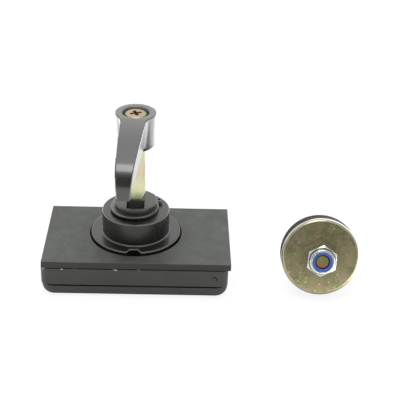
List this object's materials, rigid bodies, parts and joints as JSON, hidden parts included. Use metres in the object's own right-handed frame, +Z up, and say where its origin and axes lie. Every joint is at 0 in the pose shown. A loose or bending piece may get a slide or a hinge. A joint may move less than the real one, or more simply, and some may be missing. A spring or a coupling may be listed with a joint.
{
  "type": "cab window latch",
  "caption": "Window latch: flat sealed base, turning spindle in a collar that passes through the pane, cranked lever handle, and a separate washer and nut keeper.",
  "frame": {"origin": "where the spindle's axis meets the underside of the base", "axes": "+Z up along the spindle's axis, -Y the side that the lever points to at rest, +X towards the keeper"},
  "size_m": [0.1468, 0.0648, 0.0816],
  "materials": {
    "base_plastic": "black moulded plastic, fine matt grain",
    "housing_black": "black moulded plastic, fine matt grain",
    "rotor_black": "black moulded plastic, slightly smoother",
    "sleeve_black": "dark moulded plastic",
    "bush_plastic": "low-friction plastic",
    "rubber": "black sheet rubber with cut edges",
    "lever_black": "satin black coated die casting",
    "spring_steel": "phosphated black spring steel",
    "yellow_zinc": "zinc plated and yellow passivated steel",
    "zinc_steel": "bright zinc plated steel",
    "blue_nylon": "blue nylon"
  },
  "bodies": {
    "base": {"lower_cover": "base_plastic", "case_body": "base_plastic", "case_screws": "zinc_steel", "gasket_sheet": "rubber", "bearing_housing": "housing_black", "housing_screws": "zinc_steel", "housing_seal": "rubber", "bearing_bush": "bush_plastic", "thrust_washer": "bush_plastic", "spring_washer": "spring_steel"},
    "turning_set": {"rotor": "rotor_black", "retaining_ring": "spring_steel", "spindle_strap": "yellow_zinc", "strap_sleeve": "sleeve_black", "strap_pin": "zinc_steel", "strap_ferrule": "zinc_steel", "lever_handle": "lever_black", "handle_screw": "yellow_zinc", "handle_lock_washer": "yellow_zinc", "stop_plate": "zinc_steel", "tail_washer": "zinc_steel", "tail_screw": "zinc_steel"},
    "keeper": {"keeper_stud": "yellow_zinc", "keeper_sleeve": "zinc_steel", "backing_washer": "yellow_zinc", "front_rubber_washer": "rubber", "rear_rubber_washer": "rubber", "steel_washer": "yellow_zinc", "nyloc_nut": "zinc_steel", "nylon_insert": "blue_nylon"}
  },
  "joints": [
    {"name": "lever_turn", "type": "hinge", "parent": "base", "child": "turning_set", "pos_m": [0, 0, 0.019], "axis": [0, 0, 1], "range_deg": [-90, 90]},
    {"name": "keeper_lift", "type": "slide", "parent": "base", "child": "keeper", "axis": [0, 0, 1], "range_m": [0, 0.04]}
  ]
}
